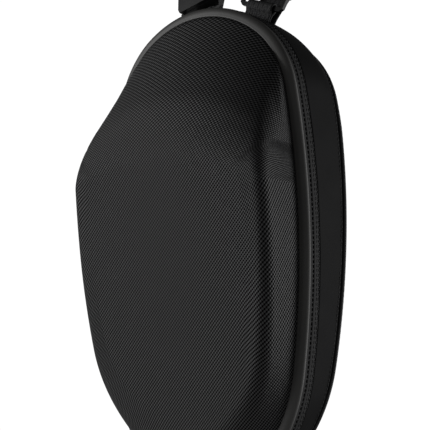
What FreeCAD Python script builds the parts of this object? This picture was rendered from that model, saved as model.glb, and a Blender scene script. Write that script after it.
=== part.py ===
import FreeCAD, Part
import math
import os

# Hard-shell zip case hung from two webbing loops. Millimetres, +Z up, -Y front.
# Origin: on the axis of the bar that the two loops go over, midway between them.

doc = FreeCAD.newDocument("hard_case")
V = FreeCAD.Vector

# ---------------------------------------------------------------- dimensions
sheet = doc.addObject("Spreadsheet::Sheet", "dims")
DIM = [
    ("bar_height", 298.0), ("bar_back", 68.4), ("bar_radius", 16.0),
    ("web_width", 25.0), ("tab_width", 23.0), ("web_thick", 1.6), ("strap_offset", 25.0), ("loop_offset", 50.0),
    ("lean_out", 15.0), ("lean_back", 16.0), ("strap_y", 20.0), ("strap_z", 196.6),
    ("shell_wall", 3.0), ("rim_inset", 6.0), ("rim_depth", 7.5),
    ("lining_thick", 0.8), ("tape_thick", 0.9), ("coil_width", 2.0),
    ("socket_thick", 9.0), ("socket_frame_thick", 4.4), ("loop_frame_thick", 2.6), ("plug_thick", 8.0),
    ("prong_thick", 4.2), ("guide_thick", 4.4), ("cavity_thick", 5.0),
    ("slider_width", 8.4), ("pull_width", 6.5), ("pull_thick", 1.3),
    ("top_radius", 90.3), ("shoulder_radius", 68.4), ("side_radius", 540.4),
    ("haunch_radius", 102.8), ("rim_top", 202.9),
    ("turn_top", 32.7), ("turn_shoulder", 78.5), ("turn_side", 97.8), ("turn_haunch", 135.7),
    ("front_depth", 38.276), ("front_tilt", 0.096), ("rear_depth", 34.76), ("rear_tilt", 0.063),
]
for row, (name, value) in enumerate(DIM, start=1):
    sheet.set("A%d" % row, name)
    sheet.set("B%d" % row, repr(value))
    sheet.setAlias("B%d" % row, name)
doc.recompute()


def dim(name):
    return float(sheet.get(name))


BAR_Z, BAR_Y = dim("bar_height"), dim("bar_back")
SX = dim("strap_offset")


def final(shape):
    # the case is laid out about the rim plane, then moved so that the bar axis is the origin
    return V(0, -BAR_Y, -BAR_Z)


# ---------------------------------------------------------------- rim outline: five tangent arcs a side
BR = [0.0] + [math.radians(dim(k)) for k in ("turn_top", "turn_shoulder", "turn_side", "turn_haunch")] + [math.pi]
RR = [dim("top_radius"), dim("shoulder_radius"), dim("side_radius"), dim("haunch_radius"), 0.0]
RR[4] = sum(RR[i] * (math.sin(BR[i + 1]) - math.sin(BR[i])) for i in range(4)) / math.sin(BR[4])
CX, CZ = [0.0] * 5, [0.0] * 5
px, pz = 0.0, dim("rim_top")
for i in range(5):
    CX[i] = px - RR[i] * math.sin(BR[i])
    CZ[i] = pz - RR[i] * math.cos(BR[i])
    px = CX[i] + RR[i] * math.sin(BR[i + 1])
    pz = CZ[i] + RR[i] * math.cos(BR[i + 1])
CX[4] = 0.0
RIM_BOTTOM = pz
ZW, ZC = 39.0, 45.0


def egg(phi, off=0.0):
    # point of the rim outline where its outward normal leans phi from +Z towards +X
    side = 1.0 if phi >= 0 else -1.0
    a = min(abs(phi), math.pi)
    k = 4
    for n in range(5):
        if a <= BR[n + 1]:
            k = n
            break
    r = RR[k] - off
    return side * (CX[k] + r * math.sin(a)), CZ[k] + r * math.cos(a)


def egg_distance(x, z):
    x = abs(x)
    best = -1e9
    for n in range(5):
        dx, dz = x - CX[n], z - CZ[n]
        a = math.atan2(dx, dz)
        a = min(max(a, BR[n]), BR[n + 1])
        v = dx * math.sin(a) + dz * math.cos(a) - RR[n]
        if v > best:
            best = v
    return best


def blend(a, b, r):
    # two surfaces meeting in an edge of radius r
    return min(max(a, b), -r) + math.hypot(max(a + r, 0.0), max(b + r, 0.0))


def clip(v, lo, hi):
    return lo if v < lo else hi if v > hi else v


def front_plane(z):
    q = z - 9.5
    return dim_front[0] + dim_front[1] * q + 0.389 * (q / 100.0) ** 2


dim_front = (dim("front_depth"), dim("front_tilt"))
dim_rear = (dim("rear_depth"), dim("rear_tilt"))
INSET, D0 = dim("rim_inset"), dim("rim_depth")


def front_shell(x, y, z, off):
    # egg-shaped wall, long slope at the top and tilted flat front, joined by round edges
    d = -y
    q = clip((d - D0) / 30.0, 0.0, 1.5)
    zz = z
    if z < ZW:
        zz = ZW + (z - ZW) * (1 + 0.222 * q) - 2.25 * q * ((ZW - z) / 150.0) ** 2
    flare = 0.529 + 3.92 * clip((z - 9.5) / 100.0, -1.0, 1.2)
    wall = egg_distance(x, zz) + INSET + off - flare * q
    drop = x * x / 171.6 + 3.1e-7 * x ** 4
    k = 1.889
    zf = 196.576 - k * (d - D0) - drop * (1 - 0.608 * clip((d - D0) / 39.0, 0.0, 1.2))
    slope = (z - zf) / math.sqrt(1 + k * k) + off
    t = clip((d - D0) / 14.0, 0.0, 1.0)
    t = t * t * (3 - 2 * t)
    a = blend(wall, slope, 9.0 * t + 0.01)
    flat = (d - front_plane(z)) * math.cos(math.atan(dim_front[1])) + off
    w = clip((z - 85.0) / 35.0, 0.0, 1.0)
    return blend(a, flat, 8.6 + 7.4 * w)


def rear_plane(z):
    return dim_rear[0] + dim_rear[1] * (z - 9.5)


def rear_shell(x, y, z, off):
    p = clip(y / 30.0, 0.0, 1.3) ** 2
    zz = ZW + (z - ZW) * (1 + (0.0325 if z > ZW else 0.0591) * p)
    wall = egg_distance(x, zz) + 0.5 + off
    flat = (y - rear_plane(z)) * math.cos(math.atan(dim_rear[1])) + off
    w = clip((z - 120.0) / 70.0, 0.0, 1.0)
    return blend(wall, flat, 8.3 + 13.0 * w)


def even_turns(count):
    fine = [-math.pi + 2 * math.pi * n / 2400.0 for n in range(2401)]
    pts = [egg(f) for f in fine]
    run = [0.0]
    for n in range(1, len(pts)):
        run.append(run[-1] + math.hypot(pts[n][0] - pts[n - 1][0], pts[n][1] - pts[n - 1][1]))
    out, j = [], 0
    for n in range(count):
        want = run[-1] * n / count
        while run[j + 1] < want:
            j += 1
        f = (want - run[j]) / (run[j + 1] - run[j])
        out.append(fine[j] + f * (fine[j + 1] - fine[j]))
    return out


TURNS = even_turns(56)


def reach(inside, make):
    lo, hi = 0.0, 1.6
    for _ in range(34):
        mid = 0.5 * (lo + hi)
        if inside(make(mid)):
            lo = mid
        else:
            hi = mid
    return make(lo)


def wall_ring(field, off, depth):
    # ring of a shell's surface at depth(z), found along lines out from the middle
    ring = []
    for f in TURNS:
        ox, oz = egg(f)

        def make(m, ox=ox, oz=oz):
            z = ZC + m * (oz - ZC)
            return (m * ox, depth(z), z)

        ring.append(reach(lambda p: field(p[0], p[1], p[2], off) < 0, make))
    return ring


def ray_ring(field, off, base, plane, scale, back, sign, start):
    ring = []
    for bx, by, bz in base:
        tz = ZC + scale * (bz - ZC)
        target = (bx * scale, sign * (plane(tz) - back), tz)

        def make(m, target=target):
            return tuple(start[n] + m * (target[n] - start[n]) for n in range(3))

        ring.append(reach(lambda p: field(p[0], p[1], p[2], off) < 0, make))
    return ring


def front_rings(off, first):
    rings = [wall_ring(front_shell, off, lambda z, y=first: y)]
    rings.append(wall_ring(front_shell, off, lambda z: -4.0))
    for t in (0.0, 0.25, 0.5, 0.75, 1.0):
        rings.append(wall_ring(front_shell, off, lambda z, t=t: -((1 - t) * D0 + t * (front_plane(z) - 11.0 - off))))
    base = wall_ring(front_shell, off, lambda z: -(front_plane(z) - 4.0 - off))
    for u in (0.18, 0.36, 0.54, 0.72, 0.86, 1.0):
        rings.append(ray_ring(front_shell, off, base, front_plane, 1 - 0.22 * u ** 1.3,
                              off / math.cos(math.atan(dim_front[1])) + 11.0 * (1 - u) ** 1.6, -1.0, (0.0, -8.0, ZC)))
    return rings


def rear_rings(off, first):
    rings = [wall_ring(rear_shell, off, lambda z, y=first: y)]
    for t in (0.2, 0.45, 0.7):
        rings.append(wall_ring(rear_shell, off, lambda z, t=t: 6.0 + t * (rear_plane(z) - off - 8.0 - 6.0)))
    base = wall_ring(rear_shell, off, lambda z: rear_plane(z) - off - 4.0)
    for u in (0.0, 0.2, 0.4, 0.6, 0.8, 1.0):
        rings.append(ray_ring(rear_shell, off, base, rear_plane, 1 - 0.26 * u ** 1.2,
                              off / math.cos(math.atan(dim_rear[1])) + 9.0 * (1 - u) ** 1.5, 1.0, (0.0, 4.0, ZC)))
    return rings


def ring_wire(ring):
    curve = Part.BSplineCurve()
    curve.interpolate(Points=[V(*p) for p in ring], PeriodicFlag=True)
    return Part.Wire([curve.toShape()])


def ring_loft(rings):
    # the last ring is laid in one plane through its lowest and highest points, then capped
    last = rings[-1]
    lo, hi = min(last, key=lambda p: p[2]), max(last, key=lambda p: p[2])
    k = (hi[1] - lo[1]) / (hi[2] - lo[2])
    flat = [(p[0], lo[1] + k * (p[2] - lo[2]), p[2]) for p in last]
    first = rings[0]
    lo, hi = min(first, key=lambda p: p[2]), max(first, key=lambda p: p[2])
    k = (hi[1] - lo[1]) / (hi[2] - lo[2])
    start = [(p[0], lo[1] + k * (p[2] - lo[2]), p[2]) for p in first]
    rings = [start] + list(rings[1:-1]) + [flat]
    body = Part.makeLoft([ring_wire(r) for r in rings], True, True, False)
    mid = V(sum(p[0] + q[0] for p, q in zip(start, flat)), sum(p[1] + q[1] for p, q in zip(start, flat)),
            sum(p[2] + q[2] for p, q in zip(start, flat))) * (0.5 / len(flat))
    if body.Volume < 0 or not body.isInside(mid, 1e-6, True):
        body = Part.makeSolid(Part.Shell(body.Faces))
    if body.Volume < 0 or not body.isInside(mid, 1e-6, True):
        body.reverse()
    if not body.isInside(mid, 1e-6, True):
        raise RuntimeError("inside out")
    return body


def slab(y0, y1):
    return Part.makeBox(400, y1 - y0, 700, V(-200, y0, -300))


# ---------------------------------------------------------------- rings that follow the rim
def arc_edges(off, y, f0, f1):
    # arcs of the outline from turn f0 to f1, f0 < f1, both within -180..180 degrees
    cuts = [f0]
    for b in [-v for v in reversed(BR[1:5])] + [0.0] + BR[1:5]:
        if f0 + 1e-6 < b < f1 - 1e-6:
            cuts.append(b)
    cuts.append(f1)
    edges = []
    for a, b in zip(cuts, cuts[1:]):
        p = []
        mid = 0.5 * (a + b)
        for f in (a, mid, b):
            # keep each end on the arc that the middle belongs to
            side = 1.0 if mid >= 0 else -1.0
            m = abs(mid)
            k = [n for n in range(5) if m <= BR[n + 1] + 1e-9][0]
            r = RR[k] - off
            p.append(V(side * (CX[k] + r * math.sin(abs(f))), y, CZ[k] + r * math.cos(f)))
        edges.append(Part.Arc(p[0], p[1], p[2]).toShape())
    return edges


def closed_wire(off, y):
    return Part.Wire(arc_edges(off, y, -math.pi, math.pi))


def full_ring(off_out, off_in, y0, y1):
    face = Part.Face(closed_wire(off_out, y0))
    hole = Part.Face(closed_wire(off_in, y0))
    return face.cut(hole).extrude(V(0, y1 - y0, 0))


def part_ring(off_out, off_in, y0, y1, f0, f1):
    out = arc_edges(off_out, y0, f0, f1)
    inn = arc_edges(off_in, y0, f0, f1)

    def end(off, f):
        x, z = egg(f, off)
        return V(x, y0, z)

    edges = out + [Part.makeLine(end(off_out, f1), end(off_in, f1))] + inn + [Part.makeLine(end(off_in, f0), end(off_out, f0))]
    wire = Part.Wire(Part.__sortEdges__(edges))
    return Part.Face(wire).extrude(V(0, y1 - y0, 0))


def ruled_ring(levels, off_in):
    # a bead of several straight-sided bands: levels are (offset, y) from back to front
    outer = Part.makeLoft([closed_wire(o, y) for o, y in levels], True, True, False)
    y0, y1 = levels[0][1], levels[-1][1]
    hole = Part.Face(closed_wire(off_in, max(y0, y1) + 1)).extrude(V(0, -(abs(y1 - y0) + 2), 0))
    return outer.cut(hole)


made = []


def feature(label, shape):
    # a piece with no simple prism or turned form: its shape is worked out above
    obj = doc.addObject("Part::Feature", label)
    if shape.ShapeType != "Solid" and len(shape.Solids) == 1:
        shape = shape.Solids[0]
    obj.Shape = shape
    obj.Label = label
    obj.Placement = FreeCAD.Placement(V(0, -BAR_Y, -BAR_Z), FreeCAD.Rotation())
    made.append(obj)
    return obj


def plane_of(body, role):
    for f in body.Origin.OriginFeatures:
        if getattr(f, "Role", "") == role:
            return f
    raise RuntimeError(role)


def polygon(sk, pts):
    n = len(pts)
    for a in range(n):
        b = (a + 1) % n
        sk.addGeometry(Part.LineSegment(V(pts[a][0], pts[a][1], 0), V(pts[b][0], pts[b][1], 0)), False)


def sketch(body, name, role, loops):
    sk = body.newObject("Sketcher::SketchObject", name)
    sk.AttachmentSupport = [(plane_of(body, role), "")]
    sk.MapMode = "FlatFace"
    for pts in loops:
        polygon(sk, pts)
    return sk


def pad(body, name, sk, length, expression=None):
    p = body.newObject("PartDesign::Pad", name)
    p.Profile = sk
    p.Length = length
    if expression:
        p.setExpression("Length", expression)
    p.Midplane = True
    sk.Visibility = False
    return p


def pocket(body, name, sk, length, expression=None):
    doc.recompute()
    before = body.Shape.Volume
    p = body.newObject("PartDesign::Pocket", name)
    p.Profile = sk
    p.Length = length
    if expression:
        p.setExpression("Length", expression)
    p.Midplane = True
    doc.recompute()
    if body.Shape.Volume >= before - 1e-3:
        raise RuntimeError(name + " cuts nothing")
    return p


LEAN = {}
for _side in (-1, 1):
    LEAN[_side] = FreeCAD.Rotation(V(0, 1, 0), _side * dim("lean_out")).multiply(FreeCAD.Rotation(V(1, 0, 0), -dim("lean_back")))


def strap_point(side, x, y, z):
    # point of a strap's own layout (z = 196 on the case's top) in the rim layout
    return V(side * SX, dim("strap_y"), dim("strap_z")) + LEAN[side].multVec(V(x, y, z - 196.0))


def place(body, side):
    # straps and buckles stand square to the curved top and lean back towards the bar
    base = strap_point(side, 0, 0, 0)
    body.Placement = FreeCAD.Placement(V(base.x, base.y - BAR_Y, base.z - BAR_Z), LEAN[side])


# ================================================================= lid
WALL = dim("shell_wall")
outer = ring_loft(front_rings(0.0, 0.0))
hollow = ring_loft(front_rings(WALL, 2.0))
front = outer.cut(hollow).common(slab(-90, -2.9))
feature("front_shell", front)
T = dim("lining_thick")
lin_out = ring_loft(front_rings(WALL + 0.05, 2.0))
lin_in = ring_loft(front_rings(WALL + 0.05 + T, 3.0))
feature("front_lining", lin_out.cut(lin_in).common(slab(-90, -3.4)))

# moulded rim band round the mouth of the lid, with a rounded shoulder
feature("front_rim_band", ruled_ring([(0.5, -2.9), (0.05, -3.5), (0.0, -4.1), (0.5, -5.3), (1.6, -6.4), (3.3, -7.15), (5.4, -7.5)], INSET + 0.02))
END = math.radians(136.4)
feature("zip_tape_front", part_ring(0.6, 0.6 + dim("tape_thick"), -2.88, -0.7, -END, END))
feature("zip_coil_front", part_ring(1.55, 1.55 + dim("coil_width"), -2.7, -0.62, -END, END))
HF = math.radians(22.0)


def bottom_leaf(off_out, off_in, y0, y1):
    # strip of the bottom arc, the same to left and right
    def pt(off, f):
        r = RR[4] - off
        return V(r * math.sin(f), y0, CZ[4] + r * math.cos(f))

    a, b = math.pi - HF, math.pi + HF
    e = [Part.Arc(pt(off_out, a), pt(off_out, math.pi), pt(off_out, b)).toShape(), Part.makeLine(pt(off_out, b), pt(off_in, b)),
         Part.Arc(pt(off_in, b), pt(off_in, math.pi), pt(off_in, a)).toShape(), Part.makeLine(pt(off_in, a), pt(off_out, a))]
    return Part.Face(Part.Wire(e)).extrude(V(0, y1 - y0, 0))


feature("hinge_fabric_front", bottom_leaf(0.6, 1.5, -2.88, -0.15))

# ================================================================= rear half
r_out = ring_loft(rear_rings(0.0, 5.9))
r_in = ring_loft(rear_rings(WALL, 4.5))
rear_all = r_out.cut(r_in)


def rear_cut(y_a, y_b):
    # half-space between two planes that follow the back's tilt, kept clear of it by the piping
    k = dim_rear[1]
    pts = []
    for (yy, zz) in ((y_a(-300), -300), (y_b(-300), -300), (y_b(400), 400), (y_a(400), 400)):
        pts.append(V(-200, yy, zz))
    return Part.Face(Part.makePolygon(pts + [pts[0]])).extrude(V(400, 0, 0))


SEAM = 7.4
gusset = rear_all.common(rear_cut(lambda z: 6.0, lambda z: rear_plane(z) - SEAM))
feature("rear_gusset", gusset)


def panel_rings(off, lead):
    rings = [wall_ring(rear_shell, off, lambda z, k=k: rear_plane(z) - SEAM + 0.02 - lead + k) for k in ((0.0,) if lead else (0.0, 1.4))]
    return rings + rear_rings(off, 6.0)[6:]


panel = ring_loft(panel_rings(0.0, 0.0)).cut(ring_loft(panel_rings(WALL, 1.5)))
feature("back_panel", panel)
rl_out = ring_loft(rear_rings(WALL + 0.05, 4.5))
rl_in = ring_loft(rear_rings(WALL + 0.05 + T, 3.5))
feature("rear_lining", rl_out.cut(rl_in).common(slab(6.6, 90)))

# piping bead sewn in the seam between the gusset and the back panel
seam_ring = wall_ring(rear_shell, -1.3, lambda z: rear_plane(z) - SEAM + 1.3)
seam_in = wall_ring(rear_shell, 0.02, lambda z: rear_plane(z) - SEAM + 1.3)
bead_rings = []
for da, off in ((-1.3, 0.3), (-0.9, -0.75), (0.0, -1.25), (0.9, -0.75), (1.3, 0.3)):
    bead_rings.append(wall_ring(rear_shell, off, lambda z, da=da: rear_plane(z) - SEAM + 1.3 + da))
bead = Part.makeLoft([ring_wire(r) for r in bead_rings], True, True, False)
if bead.Volume < 0:
    bead.reverse()
bead = bead.cut(r_out)
feature("rear_piping", max(bead.Solids, key=lambda q: q.Volume))

feature("zip_tape_rear", part_ring(0.6, 0.6 + dim("tape_thick"), 0.7, 5.98, -END, END))
feature("zip_coil_rear", part_ring(1.55, 1.55 + dim("coil_width"), 0.62, 2.7, -END, END))
feature("hinge_fabric_rear", bottom_leaf(0.6, 1.5, 0.15, 5.98))
S0, S1 = math.radians(136.6), math.radians(138.0)
feature("zip_end_stops", Part.makeCompound([part_ring(0.2, 3.4, 0.1, 3.4, S0, S1), part_ring(0.2, 3.4, 0.1, 3.4, -S1, -S0)]))

# ================================================================= zip slider, on the haunch arc at its closed end
S_REST = math.radians(134.6)
scx, scz = -CX[3], CZ[3]
ux, uz = -math.sin(S_REST), math.cos(S_REST)          # outward
RS = RR[3]
half = 4.4 / RS


def arc_plate(r_out_, r_in_, width, f_half):
    # plate that follows the haunch arc, centred on the slider's place
    a0, a1 = S_REST - f_half, S_REST + f_half

    def pt(r, a):
        return V(scx - r * math.sin(a), -width / 2.0, scz + r * math.cos(a))

    e = [Part.Arc(pt(r_out_, a0), pt(r_out_, S_REST), pt(r_out_, a1)).toShape(),
         Part.makeLine(pt(r_out_, a1), pt(r_in_, a1)),
         Part.Arc(pt(r_in_, a1), pt(r_in_, S_REST), pt(r_in_, a0)).toShape(),
         Part.makeLine(pt(r_in_, a0), pt(r_out_, a0))]
    return Part.Face(Part.Wire(e)).extrude(V(0, width, 0))


SW = dim("slider_width")
top_plate = arc_plate(RS + 1.5, RS + 0.35, SW, half)
low_plate = arc_plate(RS - 3.9, RS - 4.9, 4.8, half)
post = arc_plate(RS + 0.6, RS - 4.2, 0.9, half * 0.35)
def at(r, along, y):
    # point at radius r, moved along the arc's tangent by `along`, at depth y
    return V(scx + r * ux + along * uz, y, scz + r * uz - along * ux)


bridge_pts = [at(RS + 1.3, -3.4, 0), at(RS + 5.0, -2.4, 0), at(RS + 5.0, 2.4, 0), at(RS + 1.3, 3.4, 0),
              at(RS + 1.3, 2.3, 0), at(RS + 4.0, 1.5, 0), at(RS + 4.0, -1.5, 0), at(RS + 1.3, -2.3, 0)]
bridge = Part.Face(Part.makePolygon(bridge_pts + [bridge_pts[0]])).extrude(V(0, 3.0, 0))
bridge.translate(V(0, -1.5, 0))
slider = top_plate.fuse(low_plate).fuse(post).fuse(bridge).removeSplitter()
feature("zip_slider", slider)

# pull: flat tab hanging straight down, two arms and a pin through the slider's bridge
eye = at(RS + 3.0, 0, 0)
PW, PT = dim("pull_width"), dim("pull_thick")
tab = Part.makeBox(PT, PW, 20.0, V(eye.x - PT / 2, -PW / 2, eye.z - 25.2))
pin = Part.makeCylinder(0.65, PW, V(eye.x, -PW / 2, eye.z), V(0, 1, 0))
arms = [Part.makeBox(PT, 1.3, 5.9, V(eye.x - PT / 2, yy, eye.z - 5.3)) for yy in (-PW / 2, PW / 2 - 1.3)]
pull = tab.fuse(arms[0]).fuse(arms[1]).fuse(pin).removeSplitter()
feature("zip_pull", pull)
print("zip arc centre", round(scx, 4), round(scz - BAR_Z, 4), "eye", [round(v, 4) for v in (eye.x, eye.y - BAR_Y, eye.z - BAR_Z)])
print("rim bottom", round(RIM_BOTTOM - BAR_Z, 4))

# ================================================================= straps and buckles
W = dim("web_width")
TH = dim("web_thick")
RB = dim("bar_radius")
for side, tag in ((-1, "left"), (1, "right")):
    x = side * SX

    # buckle socket: lower frame with a bar for the webbing tab, and a body open at the top and sides
    body = doc.addObject("PartDesign::Body", "buckle_socket_" + tag)
    body.Label = "buckle_socket_" + tag
    sk = sketch(body, "socket_frame_sk_" + tag, "XZ_Plane", [
        [(-16.5, 203), (16.5, 203), (19.0, 205.2), (19.6, 214), (-19.6, 214), (-19.0, 205.2)],
        [(-17.0, 206.0), (-17.0, 213.2), (17.0, 213.2), (17.0, 206.0)]])
    pad(body, "socket_frame_" + tag, sk, 2.6, "<<dims>>.loop_frame_thick")
    sk = sketch(body, "socket_body_sk_" + tag, "XZ_Plane", [
        [(-18.2, 213.5), (18.2, 213.5), (19.6, 216.5), (19.6, 236.5), (17.5, 240), (-17.5, 240), (-19.6, 236.5), (-19.6, 216.5)]])
    pad(body, "socket_body_" + tag, sk, 9.0, "<<dims>>.socket_thick")
    sk = sketch(body, "socket_cavity_sk_" + tag, "XZ_Plane", [
        [(-14.4, 242), (-14.4, 240), (-17.2, 226), (-21.5, 225), (-21.5, 217.5), (-17.0, 215.6), (17.0, 215.6),
         (21.5, 217.5), (21.5, 225), (17.2, 226), (14.4, 240), (14.4, 242)]])
    pocket(body, "socket_cavity_" + tag, sk, 5.0, "<<dims>>.cavity_thick")
    place(body, side)
    made.append(body)

    # buckle plug: base with a bar for the strap, and a centre guide
    body = doc.addObject("PartDesign::Body", "buckle_plug_" + tag)
    body.Label = "buckle_plug_" + tag
    sk = sketch(body, "plug_frame_sk_" + tag, "XZ_Plane", [
        [(-16.4, 248), (16.4, 248), (16.4, 256), (14.4, 258), (-14.4, 258), (-16.4, 256)],
        [(-13.2, 249.2), (-13.2, 254), (13.2, 254), (13.2, 249.2)]])
    pad(body, "plug_frame_" + tag, sk, 4.4, "<<dims>>.socket_frame_thick")
    sk = sketch(body, "plug_base_sk_" + tag, "XZ_Plane", [
        [(-16.8, 241), (16.8, 241), (17.2, 243), (17.2, 247), (16.4, 249), (-16.4, 249), (-17.2, 247), (-17.2, 243)]])
    pad(body, "plug_base_" + tag, sk, 8.0, "<<dims>>.plug_thick")
    sk = sketch(body, "plug_guide_sk_" + tag, "XZ_Plane", [[(-1.6, 219), (1.6, 219), (2.4, 222), (2.4, 241.5), (-2.4, 241.5), (-2.4, 222)]])
    pad(body, "plug_guide_" + tag, sk, 4.4, "<<dims>>.guide_thick")
    place(body, side)
    made.append(body)

    # two springy prongs beside the guide; their shoulders stand in the socket's side windows
    right = [(10.4, 240.4), (13.5, 240.4), (15.3, 229), (16.2, 225.2), (16.9, 223.5), (16.9, 220.3), (15.2, 216.9), (12.8, 217.4), (11.9, 229)]
    for prong, mirror in (("inner", -side), ("outer", side)):
        body = doc.addObject("PartDesign::Body", "buckle_prong_%s_%s" % (tag, prong))
        body.Label = "buckle_prong_%s_%s" % (tag, prong)
        sk = sketch(body, "prong_sk_%s_%s" % (tag, prong), "XZ_Plane", [[(mirror * a, b) for a, b in right]])
        pad(body, "prong_%s_%s" % (tag, prong), sk, 4.2, "<<dims>>.prong_thick")
        place(body, side)
        made.append(body)

    # anchor tab: webbing folded round the socket's bar, its tail sewn through the top of the gusset
    body = doc.addObject("PartDesign::Body", "strap_tab_" + tag)
    body.Label = "strap_tab_" + tag
    sk = sketch(body, "tab_sk_" + tag, "YZ_Plane", [
        [(-1.65, 190), (1.65, 190), (1.65, 200.6), (3.3, 201.4), (3.3, 207.6), (2.6, 208.3), (-2.6, 208.3), (-3.3, 207.6), (-3.3, 201.4), (-1.65, 200.6)],
        [(-1.7, 202.6), (-1.7, 206.4), (1.7, 206.4), (1.7, 202.6)]])
    pad(body, "tab_" + tag, sk, 23.0, "<<dims>>.tab_width")
    place(body, side)
    made.append(body)

    # sewn eye of the strap round the plug's bar
    body = doc.addObject("PartDesign::Body", "strap_eye_" + tag)
    body.Label = "strap_eye_" + tag
    sk = sketch(body, "eye_sk_" + tag, "YZ_Plane", [
        [(-3.4, 251.5), (3.4, 251.5), (4.1, 252.2), (4.1, 259.2), (1.65, 260.0), (1.65, 268.0), (-1.65, 268.0), (-1.65, 260.0), (-4.1, 259.2), (-4.1, 252.2)],
        [(-2.5, 253.6), (-2.5, 258.4), (2.5, 258.4), (2.5, 253.6)]])
    pad(body, "eye_" + tag, sk, 25.0, "<<dims>>.web_width")
    place(body, side)
    made.append(body)

    # webbing that goes over the bar: contact from the front run's touching point to the rear run's
    cy, cz = BAR_Y, BAR_Z
    lx = side * dim("loop_offset")
    rc = RB + TH / 2
    top = strap_point(side, 0, 0, 268.0)
    vy, vz = cy - top.y, cz - top.z
    fa = math.atan2(vy, vz) - math.asin(rc / math.hypot(vy, vz))      # lean of the front run
    foot = strap_point(side, 0, 5.25, 197.0)
    vy, vz = cy - foot.y, cz - foot.z
    ra = math.atan2(vy, vz) + math.asin(rc / math.hypot(vy, vz))      # lean of the rear run

    def section(c, w, t, half_w, half_t):
        pts = [c - w * half_w - t * half_t, c + w * half_w - t * half_t, c + w * half_w + t * half_t, c - w * half_w + t * half_t]
        return Part.makePolygon(pts + [pts[0]])

    ex = V(1, 0, 0)
    t_front = V(0, math.cos(fa), -math.sin(fa))
    t_rear = V(0, math.cos(ra), -math.sin(ra))
    c_front = V(lx, cy, cz) - t_front * rc
    c_rear = V(lx, cy, cz) + t_rear * rc
    rx, ry = LEAN[side].multVec(V(1, 0, 0)), LEAN[side].multVec(V(0, 1, 0))

    # free run of webbing between the sewn eye and the bar
    run = Part.makeLoft([section(top, rx, ry, W / 2, TH / 2), section(c_front, ex, t_front, W / 2, TH / 2)], True, True)
    feature("strap_run_" + tag, run)

    # loop over the bar and leaning run down to the case, sewn through the gusset behind the tab
    def arc_pt(r, a):
        return V(lx - W / 2, cy - r * math.cos(a), cz + r * math.sin(a))

    a0, a1 = fa, math.pi + ra
    ro, ri = RB + TH, RB
    e = [Part.Arc(arc_pt(ro, a0), arc_pt(ro, (a0 + a1) / 2), arc_pt(ro, a1)).toShape(), Part.makeLine(arc_pt(ro, a1), arc_pt(ri, a1)),
         Part.Arc(arc_pt(ri, a1), arc_pt(ri, (a0 + a1) / 2), arc_pt(ri, a0)).toShape(), Part.makeLine(arc_pt(ri, a0), arc_pt(ro, a0))]
    over = Part.Face(Part.Wire(e)).extrude(V(W, 0, 0))
    down = Part.makeLoft([section(c_rear, ex, t_rear, W / 2, TH / 2), section(foot, rx, ry, W / 2, TH / 2)], True, True)
    root = strap_point(side, 0, 5.25, 190.0)
    tail = Part.makeLoft([section(foot, rx, ry, W / 2, TH / 2), section(root, rx, ry, W / 2, TH / 2)], True, True)
    feature("strap_loop_" + tag, over.fuse(down).fuse(tail))
    ax = LEAN[side].multVec(V(0, 0, 1))
    print(tag, "slide axis", [round(v, 6) for v in ax], "prong axis", [round(v, 6) for v in ry])
    for px_ in (-12.0, 12.0):
        q = strap_point(side, px_, 0, 240.3)
        print("  pivot", px_, [round(v, 4) for v in (q.x, q.y - BAR_Y, q.z - BAR_Z)])
    q = strap_point(side, 0, 0, 240.0)
    print("  socket mouth", [round(v, 4) for v in (q.x, q.y - BAR_Y, q.z - BAR_Z)], "top", [round(v, 4) for v in (top.x, top.y - BAR_Y, top.z - BAR_Z)],
          "front lean", round(math.degrees(fa), 3), "rear lean", round(math.degrees(ra), 3),
          "c_front", [round(v, 4) for v in (c_front.x, c_front.y - BAR_Y, c_front.z - BAR_Z)], "foot", [round(v, 4) for v in (foot.x, foot.y - BAR_Y, foot.z - BAR_Z)])

# ---------------------------------------------------------------- check and write
doc.recompute()
bad = []
for obj in doc.Objects:
    if "Invalid" in obj.State or "Error" in obj.State:
        bad.append(obj.Name + ":" + ",".join(obj.State))
for obj in made:
    s = obj.Shape
    if s.isNull() or not s.isValid() or len(s.Solids) < 1 or s.Volume < 1:
        bad.append("shape " + obj.Label + " null=%s" % s.isNull())
if bad:
    raise RuntimeError("; ".join(bad))
os.makedirs("parts", exist_ok=True)
for obj in made:
    shape = obj.Shape.copy()
    shape.exportStep("parts/" + obj.Label + ".step")
    b = obj.Shape.BoundBox
    print("%-28s solids %d vol %9.1f  x %.1f %.1f y %.1f %.1f z %.1f %.1f" % (
        obj.Label, len(obj.Shape.Solids), obj.Shape.Volume, b.XMin, b.XMax, b.YMin, b.YMax, b.ZMin, b.ZMax))
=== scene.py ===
import bpy
import math
import numpy as np
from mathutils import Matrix, Quaternion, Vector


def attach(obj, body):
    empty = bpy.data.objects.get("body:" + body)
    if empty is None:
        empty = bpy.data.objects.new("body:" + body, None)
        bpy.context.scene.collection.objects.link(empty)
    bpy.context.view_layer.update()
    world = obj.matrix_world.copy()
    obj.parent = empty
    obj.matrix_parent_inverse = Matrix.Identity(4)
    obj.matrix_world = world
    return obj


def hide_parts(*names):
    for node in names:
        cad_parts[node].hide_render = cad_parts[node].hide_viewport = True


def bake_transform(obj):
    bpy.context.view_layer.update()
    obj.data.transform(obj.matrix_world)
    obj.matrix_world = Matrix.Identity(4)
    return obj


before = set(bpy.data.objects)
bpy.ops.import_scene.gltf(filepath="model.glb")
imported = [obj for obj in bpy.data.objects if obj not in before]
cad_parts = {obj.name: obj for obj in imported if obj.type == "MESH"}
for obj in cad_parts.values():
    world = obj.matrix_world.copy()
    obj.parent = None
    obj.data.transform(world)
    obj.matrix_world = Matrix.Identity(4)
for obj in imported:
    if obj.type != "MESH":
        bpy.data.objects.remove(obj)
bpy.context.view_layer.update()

rng = np.random.default_rng(7)
SHIFT = np.array([0.0, 68.4, 298.0])


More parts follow.
